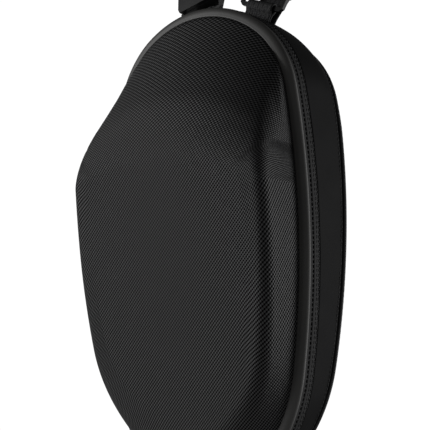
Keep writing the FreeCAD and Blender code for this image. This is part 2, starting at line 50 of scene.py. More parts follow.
def out(p):
    return (np.asarray(p, float) - SHIFT) / 1000.0


# ------------------------------------------------------------------ shape of the case
BR = np.radians([0, 32.7, 78.5, 97.8, 135.7, 180])
RR = np.array([90.3, 68.4, 540.4, 102.8, 0.0])
RR[4] = sum(RR[i] * (math.sin(BR[i + 1]) - math.sin(BR[i])) for i in range(4)) / math.sin(BR[4])
CX, CZ = np.zeros(5), np.zeros(5)
_x, _z = 0.0, 202.9
for i in range(5):
    CX[i] = _x - RR[i] * math.sin(BR[i])
    CZ[i] = _z - RR[i] * math.cos(BR[i])
    _x = CX[i] + RR[i] * math.sin(BR[i + 1])
    _z = CZ[i] + RR[i] * math.cos(BR[i + 1])
CX[4] = 0.0
ZB, ZW, ZC = _z, 39.0, 45.0


def egg(phi, off=0.0):
    phi = np.asarray(phi, float)
    side = np.where(phi >= 0, 1.0, -1.0)
    a = np.minimum(np.abs(phi), math.pi)
    k = np.clip(np.searchsorted(BR, a, side="right") - 1, 0, 4)
    r = RR[k] - off
    return side * (CX[k] + r * np.sin(a)), CZ[k] + r * np.cos(a)


def egg_sd(x, z):
    x = np.abs(x)
    best = np.full(np.broadcast(x, z).shape, -1e9)
    for n in range(5):
        dx, dz = x - CX[n], z - CZ[n]
        a = np.clip(np.arctan2(dx, dz), BR[n], BR[n + 1])
        best = np.maximum(best, dx * np.sin(a) + dz * np.cos(a) - RR[n])
    return best


def rmax(a, b, r):
    return np.minimum(np.maximum(a, b), -r) + np.hypot(np.maximum(a + r, 0), np.maximum(b + r, 0))


def front_plane(z):
    q = z - 9.5
    return 38.276 + 0.096 * q + 0.389 * (q / 100.0) ** 2


def front_field(x, y, z, off):
    d = -y
    q = np.clip((d - 7.5) / 30.0, 0, 1.5)
    low = ZW + (z - ZW) * (1 + 0.222 * q) - 2.25 * q * ((ZW - z) / 150.0) ** 2
    zz = np.where(z < ZW, low, z)
    fl = 0.529 + 3.92 * np.clip((z - 9.5) / 100, -1, 1.2)
    e = egg_sd(x, zz) + 6 + off - fl * q
    drop = x * x / 171.6 + 3.1e-7 * x ** 4
    zf = 196.576 - 1.889 * (d - 7.5) - drop * (1 - 0.608 * np.clip((d - 7.5) / 39, 0, 1.2))
    fac = (z - zf) / math.sqrt(1 + 1.889 ** 2) + off
    t = np.clip((d - 7.5) / 14, 0, 1)
    t = t * t * (3 - 2 * t)
    a = rmax(e, fac, 9 * t + 0.01)
    pl = (d - front_plane(z)) * math.cos(math.atan(0.096)) + off
    w = np.clip((z - 85) / 35, 0, 1)
    return rmax(a, pl, 8.6 + 7.4 * w)


def rear_plane(z):
    return 34.76 + 0.063 * (z - 9.5)


def rear_field(x, y, z, off):
    p = np.clip(y / 30.0, 0, 1.3) ** 2
    zz = ZW + (z - ZW) * (1 + np.where(z > ZW, 0.0325, 0.0591) * p)
    e = egg_sd(x, zz) + 0.5 + off
    pl = (y - rear_plane(z)) * math.cos(math.atan(0.063)) + off
    w = np.clip((z - 120) / 70, 0, 1)
    return rmax(e, pl, 8.3 + 13.0 * w)


COLS = 480
_f = np.linspace(-math.pi, math.pi, 6001)
_ex, _ez = egg(_f)
_run = np.concatenate([[0], np.cumsum(np.hypot(np.diff(_ex), np.diff(_ez)))])
RIM_LEN = float(_run[-1])
TURN = np.interp(np.arange(COLS) * RIM_LEN / COLS, _run, _f)
OX, OZ = egg(TURN)


def turn_at(s):
    return np.interp(np.mod(s, RIM_LEN), _run, _f)


def solve(field, start, aim, off):
    lo, hi = np.zeros(start.shape[:-1]), np.full(start.shape[:-1], 1.7)
    for _ in range(30):
        m = (lo + hi) / 2
        p = start + m[..., None] * (aim - start)
        inside = field(p[..., 0], p[..., 1], p[..., 2], off) < 0
        lo, hi = np.where(inside, m, lo), np.where(inside, hi, m)
    return start + lo[..., None] * (aim - start)


def wall_ring(field, off, depth, ox=OX, oz=OZ):
    lo, hi = np.zeros(len(ox)), np.full(len(ox), 1.6)
    for _ in range(30):
        m = (lo + hi) / 2
        x, z = m * ox, ZC + m * (oz - ZC)
        inside = field(x, depth(z), z, off) < 0
        lo, hi = np.where(inside, m, lo), np.where(inside, hi, m)
    x, z = lo * ox, ZC + lo * (oz - ZC)
    return np.stack([x, depth(z) + 0 * x, z], -1)


def shell_grid(field, plane, sign, off, depths, reach, back, shrink, start, steps):
    rings = [wall_ring(field, off, d) for d in depths]
    base = wall_ring(field, off, lambda z: sign * (plane(z) - off - 4.0))
    c = math.cos(math.atan(0.096 if sign < 0 else 0.063))
    for u in np.linspace(0, 1, steps + 1)[1:]:
        sc = 1 - shrink * u ** 1.3
        tz = ZC + sc * (base[:, 2] - ZC)
        aim = np.stack([base[:, 0] * sc, sign * (plane(tz) - off / c - back * (1 - u) ** 1.6), tz], -1)
        rings.append(solve(field, np.array([0.0, start, ZC]) + 0 * aim, aim, off))
    last = rings[-1]
    for sc in np.linspace(1, 0.0, 15)[1:-1]:
        x, z = last[:, 0] * sc, ZC + sc * (last[:, 2] - ZC)
        rings.append(np.stack([x, sign * (plane(z) - off / c), z], -1))
    mid = np.array([0.0, sign * (plane(ZC) - off / c), ZC])
    return np.array(rings), mid


def make_mesh(name, verts, faces, uv=None, smooth=True):
    name = name.replace(" ", "_")
    me = bpy.data.meshes.new(name)
    me.from_pydata([tuple(v) for v in verts], [], faces)
    me.update()
    if uv is not None:
        layer = me.uv_layers.new(name="UVMap")
        idx = np.zeros(len(me.loops), int)
        me.loops.foreach_get("vertex_index", idx)
        if isinstance(uv, dict):
            flat = uv["loops"]
        else:
            flat = np.asarray(uv)[idx]
        layer.data.foreach_set("uv", np.ascontiguousarray(flat, dtype=np.float32).ravel())
    if smooth:
        me.polygons.foreach_set("use_smooth", [True] * len(me.polygons))
    ob = bpy.data.objects.new(name, me)
    bpy.context.scene.collection.objects.link(ob)
    return ob


def closed_shell(name, rings_o, mid_o, rings_i, mid_i, uv_o=None):
    # outer skin from rim to middle, inner skin back to the rim, closed across the rim
    n = rings_o.shape[1]
    rows = np.concatenate([rings_o, rings_i[::-1]], 0)
    ro = len(rings_o)
    verts = np.concatenate([rows.reshape(-1, 3), [mid_o, mid_i]], 0)
    faces = []
    k0 = len(rows)
    for r in range(k0):
        if r == ro - 1:
            continue
        a, b = r * n, ((r + 1) % k0) * n
        for j in range(n):
            q = (j + 1) % n
            faces.append((a + j, a + q, b + q, b + j))
    mo, mi = len(verts) - 2, len(verts) - 1
    a, b = (ro - 1) * n, ro * n
    for j in range(n):
        q = (j + 1) % n
        faces.append((a + j, a + q, mo))
        faces.append((b + q, b + j, mi))
    uv = None
    if uv_o is not None:
        inner = np.stack([rings_i[..., 0], rings_i[..., 2]], -1)[::-1].reshape(-1, 2)
        uv = np.concatenate([uv_o.reshape(-1, 2), inner, [[mid_o[0], mid_o[2]], [mid_i[0], mid_i[2]]]], 0) / 1000.0
    ob = make_mesh(name, out(verts), faces, uv)
    return fix_normals(ob)


def fix_normals(ob):
    import bmesh
    bm = bmesh.new()
    bm.from_mesh(ob.data)
    bmesh.ops.recalc_face_normals(bm, faces=bm.faces)
    bm.to_mesh(ob.data)
    bm.free()
    return ob


def unfold(rings, flat_from):
    # cloth laid flat on the front and folded down the walls
    uv = np.zeros(rings.shape[:2] + (2,))
    uv[flat_from:] = rings[flat_from:][..., [0, 2]]
    edge = rings[flat_from]
    t = np.roll(edge, -1, 0) - np.roll(edge, 1, 0)
    nrm = np.stack([t[:, 2], -t[:, 0]], -1)
    nrm /= np.linalg.norm(nrm, axis=1)[:, None]
    sgn = np.sign(np.sum(nrm * (edge[:, [0, 2]] - np.array([0, ZC])), 1))
    nrm *= sgn[:, None]
    for r in range(flat_from - 1, -1, -1):
        step = np.linalg.norm(rings[r] - rings[r + 1], axis=1)
        uv[r] = uv[r + 1] + nrm * step[:, None]
    return uv


# ------------------------------------------------------------------ materials
def mat(name, base, rough, spec, build=None):
    m = bpy.data.materials.new(name)
    m.use_nodes = True
    nt = m.node_tree
    b = nt.nodes["Principled BSDF"]
    b.inputs["Base Color"].default_value = (*base, 1)
    b.inputs["Roughness"].default_value = rough
    b.inputs["Specular IOR Level"].default_value = spec
    if build:
        build(nt, b)
    return m


def math_node(nt, op, a, b=None):
    n = nt.nodes.new("ShaderNodeMath")
    n.operation = op
    for s, v in zip(n.inputs, (a, b)):
        if v is None:
            continue
        if isinstance(v, (int, float)):
            s.default_value = v
        else:
            nt.links.new(v, s)
    return n.outputs[0]


def ramp(nt, fac, stops):
    n = nt.nodes.new("ShaderNodeValToRGB")
    e = n.color_ramp.elements
    while len(e) < len(stops):
        e.new(0.5)
    for k, (pos, col) in enumerate(stops):
        e[k].position = pos
        e[k].color = (*col, 1)
    nt.links.new(fac, n.inputs[0])
    return n.outputs[0]


def noise(nt, scale, detail=3.0, rough=0.5, vec=None):
    n = nt.nodes.new("ShaderNodeTexNoise")
    n.inputs["Scale"].default_value = scale
    n.inputs["Detail"].default_value = detail
    n.inputs["Roughness"].default_value = rough
    if vec is None:
        tc = nt.nodes.new("ShaderNodeTexCoord")
        vec = tc.outputs["Object"]
    nt.links.new(vec, n.inputs["Vector"])
    return n.outputs[0]


def bump(nt, bsdf, height, strength, dist, chain=None):
    n = nt.nodes.new("ShaderNodeBump")
    n.inputs["Strength"].default_value = strength
    n.inputs["Distance"].default_value = dist
    nt.links.new(height, n.inputs["Height"])
    if chain is not None:
        nt.links.new(chain, n.inputs["Normal"])
    nt.links.new(n.outputs[0], bsdf.inputs["Normal"])
    return n.outputs[0]


def cloth_fill(dark, light, scale=900.0, strength=0.25, dist=0.0002, rough=(0.62, 0.8)):
    def build(nt, b):
        h = noise(nt, scale, 4.0, 0.6)
        big = noise(nt, 35.0, 2.0)
        nt.links.new(ramp(nt, big, [(0.3, dark), (0.7, light)]), b.inputs["Base Color"])
        r = nt.nodes.new("ShaderNodeMapRange")
        r.inputs["To Min"].default_value, r.inputs["To Max"].default_value = rough
        nt.links.new(h, r.inputs["Value"])
        nt.links.new(r.outputs[0], b.inputs["Roughness"])
        bump(nt, b, h, strength, dist)
    return build


def uv_xy(nt, turn=0.0, scale=1.0):
    uvn = nt.nodes.new("ShaderNodeUVMap")
    mp = nt.nodes.new("ShaderNodeMapping")
    mp.inputs["Rotation"].default_value = (0, 0, turn)
    mp.inputs["Scale"].default_value = (scale, scale, 1)
    nt.links.new(uvn.outputs[0], mp.inputs[0])
    sp = nt.nodes.new("ShaderNodeSeparateXYZ")
    nt.links.new(mp.outputs[0], sp.inputs[0])
    return mp.outputs[0], sp.outputs[0], sp.outputs[1]


def weave_build(nt, b):
    # diamond weave: two sets of yarns at 45 degrees, 1.75 mm apart
    vec, u, v = uv_xy(nt, math.radians(45), 2 * math.pi / 0.00175)
    cu, cv = math_node(nt, "COSINE", u), math_node(nt, "COSINE", v)
    knot = math_node(nt, "ADD", math_node(nt, "MULTIPLY", math_node(nt, "ADD", cu, cv), 0.25), 0.5)
    strand = math_node(nt, "MULTIPLY", math_node(nt, "SUBTRACT", cu, cv), 0.06)
    h = math_node(nt, "ADD", knot, strand)
    fine = noise(nt, 2600.0, 2.0)
    hh = math_node(nt, "ADD", h, math_node(nt, "MULTIPLY", fine, 0.15))
    big = noise(nt, 18.0, 2.0)
    # colour follows the yarn height h: painted shade in the hollows between the yarns and a painted sheen on their
    # crests; the slow noise adds real tone
    painted_shade_and_tone = math_node(nt, "ADD", h, math_node(nt, "MULTIPLY", math_node(nt, "SUBTRACT", big, 0.5), 0.12))
    nt.links.new(ramp(nt, painted_shade_and_tone, [(0.22, (0.0006, 0.0006, 0.0006)), (0.5, (0.012, 0.012, 0.0125)), (0.9, (0.034, 0.034, 0.0355))]), b.inputs["Base Color"])
    r = nt.nodes.new("ShaderNodeMapRange")
    r.inputs["To Min"].default_value, r.inputs["To Max"].default_value = 0.75, 0.42
    nt.links.new(h, r.inputs["Value"])
    nt.links.new(r.outputs[0], b.inputs["Roughness"])
    sl = nt.nodes.new("ShaderNodeMapRange")
    sl.inputs["From Min"].default_value, sl.inputs["From Max"].default_value = 0.25, 0.7
    sl.inputs["To Min"].default_value, sl.inputs["To Max"].default_value = 0.02, 0.42
    nt.links.new(h, sl.inputs["Value"])
    nt.links.new(sl.outputs[0], b.inputs["Specular IOR Level"])
    bump(nt, b, hh, 0.9, 0.00035)


def web_build(nt, b):
    # ribbed webbing: picks across, ribs along
    vec, u, v = uv_xy(nt, 0.0, 1.0)
    ribs = math_node(nt, "ABSOLUTE", math_node(nt, "SINE", math_node(nt, "MULTIPLY", u, math.pi / 0.00208)))
    tilt = math_node(nt, "ADD", v, math_node(nt, "MULTIPLY", math_node(nt, "PINGPONG", u, 0.00208), 0.9))
    picks = math_node(nt, "ABSOLUTE", math_node(nt, "SINE", math_node(nt, "MULTIPLY", tilt, math.pi / 0.0011)))
    h = math_node(nt, "ADD", math_node(nt, "MULTIPLY", ribs, 0.5), math_node(nt, "MULTIPLY", picks, 0.5))
    # colour follows the rib and pick height: painted shade in the grooves and a painted sheen on the raised yarn
    nt.links.new(ramp(nt, h, [(0.1, (0.004, 0.004, 0.0045)), (0.9, (0.020, 0.020, 0.0215))]), b.inputs["Base Color"])
    bump(nt, b, h, 0.8, 0.0003)


def plastic_build(nt, b):
    h = noise(nt, 1400.0, 3.0)
    g = noise(nt, 60.0, 3.0)
    r = nt.nodes.new("ShaderNodeMapRange")
    r.inputs["To Min"].default_value, r.inputs["To Max"].default_value = 0.28, 0.42
    nt.links.new(g, r.inputs["Value"])
    nt.links.new(r.outputs[0], b.inputs["Roughness"])
    nt.links.new(ramp(nt, g, [(0.3, (0.0045, 0.0045, 0.005)), (0.7, (0.007, 0.007, 0.0075))]), b.inputs["Base Color"])
    bump(nt, b, h, 0.12, 0.0001)


M = {
    "shell": mat("woven front", (0.02, 0.02, 0.02), 0.6, 0.5, weave_build),
    "band": mat("coated rim band", (0.016, 0.016, 0.017), 0.5, 0.45, cloth_fill((0.036, 0.0352, 0.034), (0.044, 0.043, 0.0415), 1500, 0.18, 0.0001, (0.46, 0.6))),
    "lining": mat("brushed lining", (0.03, 0.03, 0.032), 0.9, 0.1, cloth_fill((0.014, 0.014, 0.015), (0.024, 0.024, 0.026), 1800, 0.5, 0.0004, (0.85, 0.95))),
    "tape": mat("zip tape", (0.01, 0.01, 0.01), 0.7, 0.25, cloth_fill((0.007, 0.007, 0.0075), (0.011, 0.011, 0.0115), 2200, 0.4, 0.0002, (0.6, 0.8))),
    "gusset": mat("coated gusset", (0.008, 0.008, 0.0085), 0.55, 0.05, cloth_fill((0.0034, 0.0034, 0.0036), (0.0054, 0.0054, 0.0057), 1300, 0.22, 0.00012, (0.5, 0.64))),
    "panel": mat("back cloth", (0.014, 0.014, 0.015), 0.8, 0.08, cloth_fill((0.004, 0.004, 0.0042), (0.006, 0.006, 0.0063), 1300, 0.3, 0.00015, (0.75, 0.88))),
    "piping": mat("coated piping", (0.010, 0.010, 0.011), 0.5, 0.35, cloth_fill((0.007, 0.007, 0.0075), (0.011, 0.011, 0.0115), 1500, 0.3, 0.00015, (0.45, 0.6))),
    "web": mat("ribbed webbing", (0.02, 0.02, 0.02), 0.62, 0.3, web_build),
    "plastic": mat("satin plastic", (0.006, 0.006, 0.0065), 0.35, 0.2, plastic_build),
    "coil": mat("nylon coil", (0.03, 0.03, 0.03), 0.4, 0.4, cloth_fill((0.040, 0.040, 0.041), (0.052, 0.052, 0.053), 900, 0.1, 0.00005, (0.35, 0.5))),
    "thread": mat("bonded thread", (0.016, 0.016, 0.017), 0.45, 0.35, cloth_fill((0.014, 0.014, 0.015), (0.022, 0.022, 0.023), 3000, 0.3, 0.0001, (0.4, 0.55))),
    "metal": mat("black enamel", (0.008, 0.008, 0.0085), 0.3, 0.5, plastic_build),
}


def finish_piece(ob, key, body, replaces=()):
    ob.data.materials.clear()
    ob.data.materials.append(M[key])
    if body:
        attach(ob, body)
    if replaces:
        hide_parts(*replaces)
    return ob


# ------------------------------------------------------------------ camera and light
D, A = 1089.0, math.radians(43.0)
s, c = math.sin(A), math.cos(A)
cam_data = bpy.data.cameras.new("camera")
cam = bpy.data.objects.new("camera", cam_data)
bpy.context.scene.collection.objects.link(cam)
cam.location = Vector(out([s * D, -c * D, 0.0]))
fwd, right, up = Vector((-s, c, 0)), Vector((c, s, 0)), Vector((0, 0, 1))
look = fwd + right * (6 / 1650.0) + up * (100 / 1650.0)
cam.rotation_mode = "QUATERNION"
cam.rotation_quaternion = look.to_track_quat("-Z", "Y")
cam_data.sensor_width = 36.0
cam_data.lens = 36.0 * 1652.0 / 430.0
cam_data.clip_start, cam_data.clip_end = 0.05, 20.0
bpy.context.scene.camera = cam
bpy.context.scene.view_settings.view_transform = "Standard"

WORLD_FRONT, WORLD_TOP = 0.24, 0.1
world = bpy.data.worlds.new("studio")
bpy.context.scene.world = world
world.use_nodes = True
wn = world.node_tree
bg = wn.nodes["Background"]
tc = wn.nodes.new("ShaderNodeTexCoord")


def world_dot(v):
    n = wn.nodes.new("ShaderNodeVectorMath")
    n.operation = "DOT_PRODUCT"
    n.inputs[1].default_value = v
    wn.links.new(tc.outputs["Generated"], n.inputs[0])
    return n.outputs["Value"]


def world_range(val, a_, b_, lo_, hi_):
    n = wn.nodes.new("ShaderNodeMapRange")
    n.interpolation_type = "SMOOTHSTEP"
    for k_, v_ in zip(("From Min", "From Max", "To Min", "To Max"), (a_, b_, lo_, hi_)):
        n.inputs[k_].default_value = v_
    wn.links.new(val, n.inputs["Value"])
    return n.outputs[0]


behind = world_range(world_dot((-s, c, 0.0)), 0.90, 0.97, WORLD_FRONT, 1.0)
above = world_range(world_dot((0, 0, 1)), 0.25, 0.7, 1.0, WORLD_TOP)
wm = wn.nodes.new("ShaderNodeMath")
wm.operation = "MULTIPLY"
wn.links.new(behind, wm.inputs[0])
wn.links.new(above, wm.inputs[1])
wc = wn.nodes.new("ShaderNodeCombineColor")
for k_ in range(3):
    wn.links.new(wm.outputs[0], wc.inputs[k_])
wn.links.new(wc.outputs[0], bg.inputs["Color"])
bg.inputs["Strength"].default_value = 1.05


def area(name, at_mm, to_mm, size, power):
    d = bpy.data.lights.new(name, "AREA")
    d.shape, d.size, d.size_y, d.energy = "RECTANGLE", size[0], size[1], power
    o = bpy.data.objects.new(name, d)
    bpy.context.scene.collection.objects.link(o)
    p, t = Vector(out(at_mm)), Vector(out(to_mm))
    o.location = p
    o.rotation_mode = "QUATERNION"
    o.rotation_quaternion = (t - p).to_track_quat("-Z", "Y")
    return o


area("key_left", (-830, -900, -420), (0, 0, 10), (0.7, 0.9), 5.3)
area("ridge", (-760, -640, 500), (-20, -40, 80), (0.26, 0.2), 4.2)
area("side_right", (820, 820, 30), (60, 10, 30), (0.5, 1.3), 9.0)

# ------------------------------------------------------------------ front shell
T_STEPS = 30
depths = [lambda z: -2.9 + 0 * z, lambda z: -5.0 + 0 * z]
depths += [lambda z, t=t: -((1 - t) * 7.5 + t * (front_plane(z) - 11.0)) for t in np.linspace(0, 1, T_STEPS)]
fo, fo_mid = shell_grid(front_field, front_plane, -1.0, 0.0, depths, 0, 11.0, 0.22, -8.0, 28)
depths_i = [lambda z: -2.9 + 0 * z]
depths_i += [lambda z, t=t: -((1 - t) * 7.5 + t * (front_plane(z) - 14.0)) for t in np.linspace(0, 1, 8)]
fi, fi_mid = shell_grid(front_field, front_plane, -1.0, 3.0, depths_i, 0, 11.0, 0.22, -8.0, 12)
flat_from = len(depths) + 24
front = closed_shell("front shell cloth", fo, fo_mid, fi, fi_mid, unfold(fo, flat_from))
finish_piece(front, "shell", "front_lid", ("front_shell",))

li, li_mid = shell_grid(front_field, front_plane, -1.0, 3.05, depths_i, 0, 11.0, 0.22, -8.0, 12)
lj, lj_mid = shell_grid(front_field, front_plane, -1.0, 3.85, depths_i, 0, 11.0, 0.22, -8.0, 12)
lining_f = closed_shell("lid lining", li, li_mid, lj, lj_mid)
finish_piece(lining_f, "lining", "front_lid", ("front_lining",))


# ------------------------------------------------------------------ rings round the rim
def ring_strip(name, profile, f0=-math.pi, f1=math.pi, closed=True, steps=960, wob=0.0, seed=1):
    # profile: closed list of (offset, y); swept along the rim outline
    if closed:
        ss = np.arange(steps) * RIM_LEN / steps
    else:
        s0, s1 = np.interp([f0, f1], _f, _run)
        ss = np.linspace(s0, s1, steps)
    t = turn_at(ss) if closed else np.interp(ss, _run, _f)
    w = np.zeros(len(ss))
    if wob:
        r = np.random.default_rng(seed)
        for k in range(12, 60, 5):
            w += wob / 4 * math.sin(k) * np.sin(2 * math.pi * k * ss / RIM_LEN + r.uniform(0, 6.28))
    P = []
    for off, y in profile:
        x, z = egg(t, off)
        P.append(np.stack([x, np.full_like(x, y) + w, z], -1))
    P = np.array(P)
    m, n = P.shape[:2]
    faces = []
    for a in range(m):
        b = (a + 1) % m
        for j in range(n if closed else n - 1):
            q = (j + 1) % n
            faces.append((a * n + j, a * n + q, b * n + q, b * n + j))
    if not closed:
        faces.append(tuple(a * n for a in range(m)))
        faces.append(tuple(a * n + n - 1 for a in range(m))[::-1])
    prof = np.array(profile)
    acc = np.concatenate([[0], np.cumsum(np.linalg.norm(np.diff(prof, axis=0), axis=1))])
    uv = np.stack(np.broadcast_arrays(ss[None, :], acc[:, None]), -1).reshape(-1, 2) / 1000.0
    return fix_normals(make_mesh(name, out(P.reshape(-1, 3)), faces, uv))


def stitches(name, centres, along, outward, length, radius):
    # thread lying on the cloth: a low arch for each stitch
    verts, faces = [], []
    for p, a, o in zip(centres, along, outward):
        a, o = a / np.linalg.norm(a), o / np.linalg.norm(o)
        b = np.cross(a, o)
        base = len(verts)
        for k, (u, lift, r) in enumerate(((-0.5, -0.9, 0.35), (-0.36, 0.0, 0.9), (0, 0.35, 1.0), (0.36, 0.0, 0.9), (0.5, -0.9, 0.35))):
            for q in range(6):
                g = 2 * math.pi * q / 6
                verts.append(p + a * u * length + o * (lift * radius + r * radius * math.cos(g)) + b * r * radius * math.sin(g))
        for k in range(4):
            for q in range(6):
                w = (q + 1) % 6
                faces.append((base + k * 6 + q, base + k * 6 + w, base + (k + 1) * 6 + w, base + (k + 1) * 6 + q))
        faces.append(tuple(base + q for q in range(6))[::-1])
        faces.append(tuple(base + 24 + q for q in range(6)))
    return make_mesh(name, out(np.array(verts)), faces)


def rim_points(ss, off, y):
    t = np.interp(ss, _run, _f)
    x, z = egg(t, off)
    nx, nz = np.sin(t), np.cos(t)
    P = np.stack([x, np.full_like(x, y), z], -1)
    N = np.stack([nx, 0 * nx, nz], -1)
    Tn = np.stack([np.cos(t), 0 * nx, -np.sin(t)], -1)
    return P, Tn, N


band_prof = [(0.55, -2.95), (0.2, -3.1), (0.02, -3.5), (0.0, -4.0), (0.12, -4.7), (0.45, -5.3), (0.95, -5.85), (1.6, -6.35), (2.4, -6.8),
             (3.2, -7.1), (4.0, -7.3), (4.8, -7.45), (5.4, -7.62), (5.85, -7.7), (6.15, -7.6), (6.3, -7.2), (6.1, -4.0), (5.9, -3.0), (3.0, -2.95)]
band = ring_strip("rim band", band_prof)
finish_piece(band, "band", "front_lid", ("front_rim_band",))

ZE = math.radians(136.4)
tape_f = ring_strip("zip tape front", [(0.75, -2.9), (0.62, -2.4), (0.6, -1.3), (0.7, -0.8), (1.0, -0.6), (1.4, -0.6), (1.5, -0.85), (1.5, -2.9)], -ZE, ZE, False)
finish_piece(tape_f, "tape", "front_lid", ("zip_tape_front",))
tape_r = ring_strip("zip tape rear", [(0.75, 6.1), (0.62, 5.0), (0.6, 1.3), (0.7, 0.8), (1.0, 0.6), (1.4, 0.6), (1.5, 0.85), (1.5, 6.1)], -ZE, ZE, False)
finish_piece(tape_r, "tape", "case_rear", ("zip_tape_rear",))


def coil(name, sign):
    # nylon coil: one loop for each tooth, 3 mm apart, the two sides meeting in pairs
    s0, s1 = np.interp([-ZE, ZE], _f, _run)
    pitch = 3.0
    ss = np.arange(s0 + 1, s1 - 1, pitch)
    verts, faces = [], []
    prof = [(2.35, 2.5), (1.7, 2.0), (1.62, 1.3), (1.3, 0.7), (1.5, 0.35), (2.3, 0.35), (2.8, 0.5), (3.0, 1.0), (2.9, 2.0)]
    for s_ in ss:
        P, Tn, N = rim_points(np.array([s_]), 0.0, 0.0)
        p0, t0, n0 = P[0], Tn[0], N[0]
        base = len(verts)
        rad = 0.55
        cen = [p0 - n0 * off + np.array([0, sign * y, 0]) for off, y in prof]
        for k, cc in enumerate(cen):
            d = cen[(k + 1) % len(cen)] - cen[k - 1]
            d /= np.linalg.norm(d)
            e1 = t0
            e2 = np.cross(d, e1)
            fat = 1.5 if 2 <= k <= 5 else 1.0
            for q in range(6):
                g = 2 * math.pi * q / 6
                verts.append(cc + rad * fat * (math.cos(g) * e1) + rad * math.sin(g) * e2)
        m = len(cen)
        for k in range(m):
            for q in range(6):
                w = (q + 1) % 6
                a, b = base + k * 6, base + ((k + 1) % m) * 6
                faces.append((a + q, a + w, b + w, b + q))
    return make_mesh(name, out(np.array(verts)), faces)


coil_f = coil("zip coil front", -1)
finish_piece(coil_f, "coil", "front_lid", ("zip_coil_front",))
coil_r = coil("zip coil rear", 1)
finish_piece(coil_r, "coil", "case_rear", ("zip_coil_rear",))

s0, s1 = np.interp([-ZE, ZE], _f, _run)
ss = np.arange(s0 + 2, s1 - 2, 3.0)
for y, tag in ((3.5, "inner"), (5.2, "outer")):
    P, Tn, N = rim_points(ss, 0.55, y)
    st = stitches("zip seam stitches " + tag, P, Tn, N, 2.5, 0.30)
    finish_piece(st, "thread", "case_rear", ())

# ------------------------------------------------------------------ rear half
def wrinkle(P, amount, seed):
    # slack of cloth over foam: slow swells across the gusset
    r = np.random.default_rng(seed)
    ang = np.arctan2(P[..., 0], P[..., 2] - ZC)
    w = np.zeros(P.shape[:2])
    for k in range(9):
        f, ph, g = int(r.integers(5, 26)), r.uniform(0, 6.28), r.uniform(-0.06, 0.06)
        w += np.sin(f * ang + ph + g * P[..., 1]) / 5
    return w * amount


SEAM = 7.4
g_depth = [lambda z, t=t: 5.98 + t * (rear_plane(z) - SEAM - 5.98) for t in np.linspace(0, 1, 22)]
go = np.array([wall_ring(rear_field, 0.0, d) for d in g_depth])
gi = np.array([wall_ring(rear_field, 3.0, d) for d in g_depth])
fade = np.sin(np.linspace(0, math.pi, len(go)))[:, None]
rad = go - np.array([0, 0, ZC])
rad[..., 1] = 0
rad /= np.linalg.norm(rad, axis=-1)[..., None]
go = go + rad * (wrinkle(go, 0.35, 3) * fade)[..., None]
n = go.shape[1]
rows = np.concatenate([go, gi[::-1]], 0)
k0 = len(rows)
faces = []
for r in range(k0):
    a, b = r * n, ((r + 1) % k0) * n
    for j in range(n):
        q = (j + 1) % n
        faces.append((a + j, a + q, b + q, b + j))
gus = fix_normals(make_mesh("rear gusset cloth", out(rows.reshape(-1, 3)), faces, rows.reshape(-1, 3)[:, [0, 1]] / 1000))
finish_piece(gus, "gusset", "case_rear", ("rear_gusset",))

p_depth = [lambda z, k=k: rear_plane(z) - SEAM + 0.02 + k for k in (0.0, 0.7, 1.4)]
po, po_mid = shell_grid(rear_field, rear_plane, 1.0, 0.0, p_depth, 0, 5.2, 0.26, 4.0, 22)
pi_, pi_mid = shell_grid(rear_field, rear_plane, 1.0, 3.0, p_depth[:1], 0, 5.2, 0.26, 4.0, 14)
pan = closed_shell("back panel cloth", po, po_mid, pi_, pi_mid, unfold(po, len(p_depth) + 18))
finish_piece(pan, "panel", "case_rear", ("back_panel",))

r_depth = [lambda z, t=t: 6.6 + t * (rear_plane(z) - 3.05 - 8.0 - 6.6) for t in np.linspace(0, 1, 6)]
ro_, ro_mid = shell_grid(rear_field, rear_plane, 1.0, 3.05, r_depth, 0, 9.0, 0.26, 4.0, 12)
ri_, ri_mid = shell_grid(rear_field, rear_plane, 1.0, 3.85, r_depth, 0, 9.0, 0.26, 4.0, 12)
lin_r = closed_shell("rear lining cloth", ro_, ro_mid, ri_, ri_mid)
finish_piece(lin_r, "lining", "case_rear", ("rear_lining",))

# piping: a covered cord sewn in the seam, gathered a little where it turns
turns = 960
tt = turn_at(np.arange(turns) * RIM_LEN / turns)
ex_, ez_ = egg(tt)
core = wall_ring(rear_field, -0.35, lambda z: rear_plane(z) - SEAM + 1.2, ex_, ez_)
tan = np.roll(core, -1, 0) - np.roll(core, 1, 0)
tan /= np.linalg.norm(tan, axis=1)[:, None]
outw = core - np.array([0, 0, ZC])
outw[:, 1] = 0
outw -= tan * np.sum(outw * tan, 1)[:, None]
outw /= np.linalg.norm(outw, axis=1)[:, None]
sidew = np.cross(tan, outw)
pleat = 1 + 0.035 * np.sin(np.arange(turns) * 2 * math.pi * 220 / turns) * (0.5 + 0.5 * np.sin(np.arange(turns) * 0.043))
verts, faces = [], []
for k in range(12):
    g = 2 * math.pi * k / 12
    verts.append(core + (1.25 * pleat)[:, None] * (math.cos(g) * outw + math.sin(g) * sidew))
verts = np.array(verts)
for k in range(12):
    for j in range(turns):
        faces.append((k * turns + j, k * turns + (j + 1) % turns, ((k + 1) % 12) * turns + (j + 1) % turns, ((k + 1) % 12) * turns + j))
pip = fix_normals(make_mesh("piping cord", out(verts.reshape(-1, 3)), faces))
finish_piece(pip, "piping", "case_rear", ("rear_piping",))
ss = np.arange(0, RIM_LEN, 3.0)
ex_, ez_ = egg(turn_at(ss))
sp_ = wall_ring(rear_field, -0.05, lambda z: rear_plane(z) - SEAM - 2.0, ex_, ez_)
tn_ = np.roll(sp_, -1, 0) - np.roll(sp_, 1, 0)
on_ = sp_ - np.array([0, 0, ZC])
on_[:, 1] = 0
st = stitches("piping seam stitches", sp_, tn_, on_, 2.5, 0.28)
finish_piece(st, "thread", "case_rear", ())

